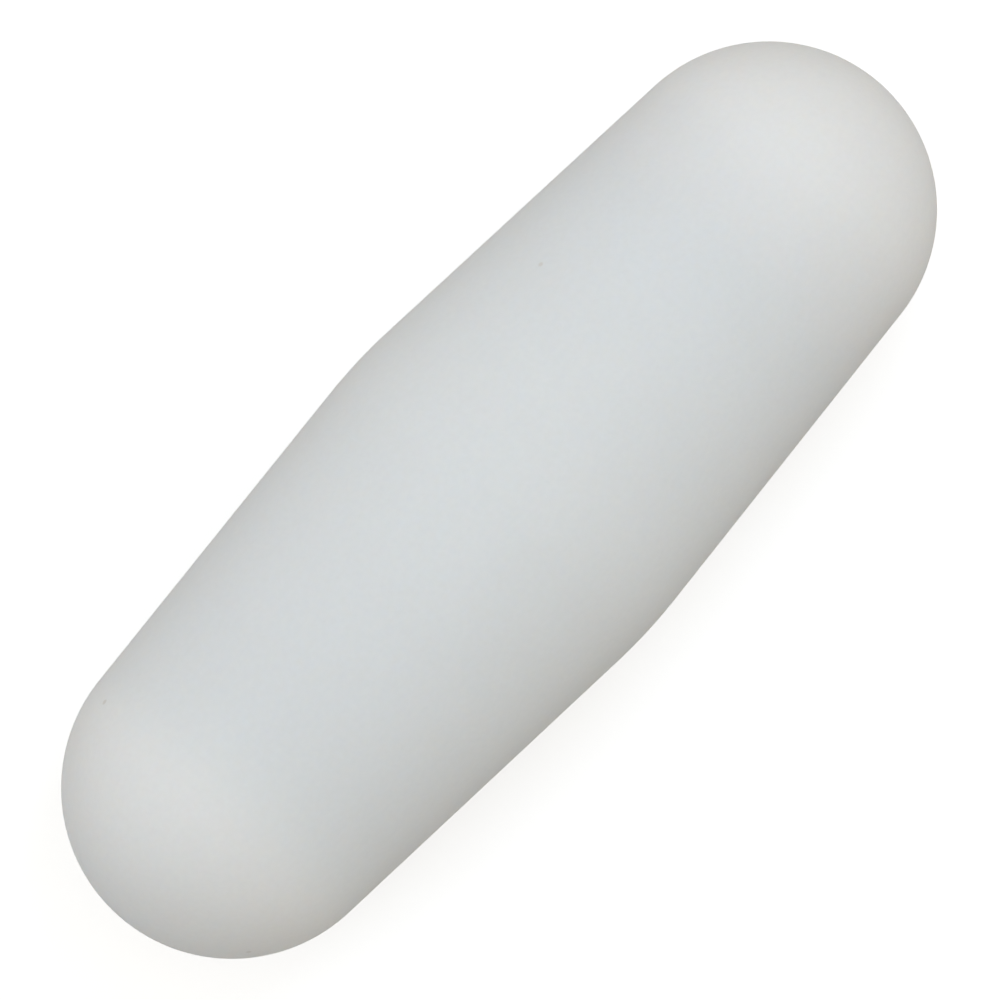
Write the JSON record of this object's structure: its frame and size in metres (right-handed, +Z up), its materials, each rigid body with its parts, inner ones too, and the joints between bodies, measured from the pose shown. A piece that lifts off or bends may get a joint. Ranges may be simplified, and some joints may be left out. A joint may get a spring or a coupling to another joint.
{
  "type": "magnetic stir bar",
  "caption": "Plain double-taper stir bar with domed ends: a seamless white PTFE jacket moulded round a rod magnet, for stirring liquids over a magnetic drive.",
  "frame": {"origin": "centre of the bar: the middle of its axis, which is also the middle of the magnet and of the crest", "axes": "+X along the bar from tip to tip, +Z up from the bench or the vessel's floor that the bar lies on, +Y across the bar"},
  "size_m": [0.02, 0.007, 0.007],
  "materials": {
    "ptfe": "moulded and sintered PTFE, milky white, smooth satin with a waxy sheen",
    "magnet_alloy": "cast aluminium-nickel-cobalt magnet alloy, ground, dull grey"
  },
  "bodies": {
    "root": {"jacket": "ptfe", "magnet": "magnet_alloy"}
  },
  "joints": []
}
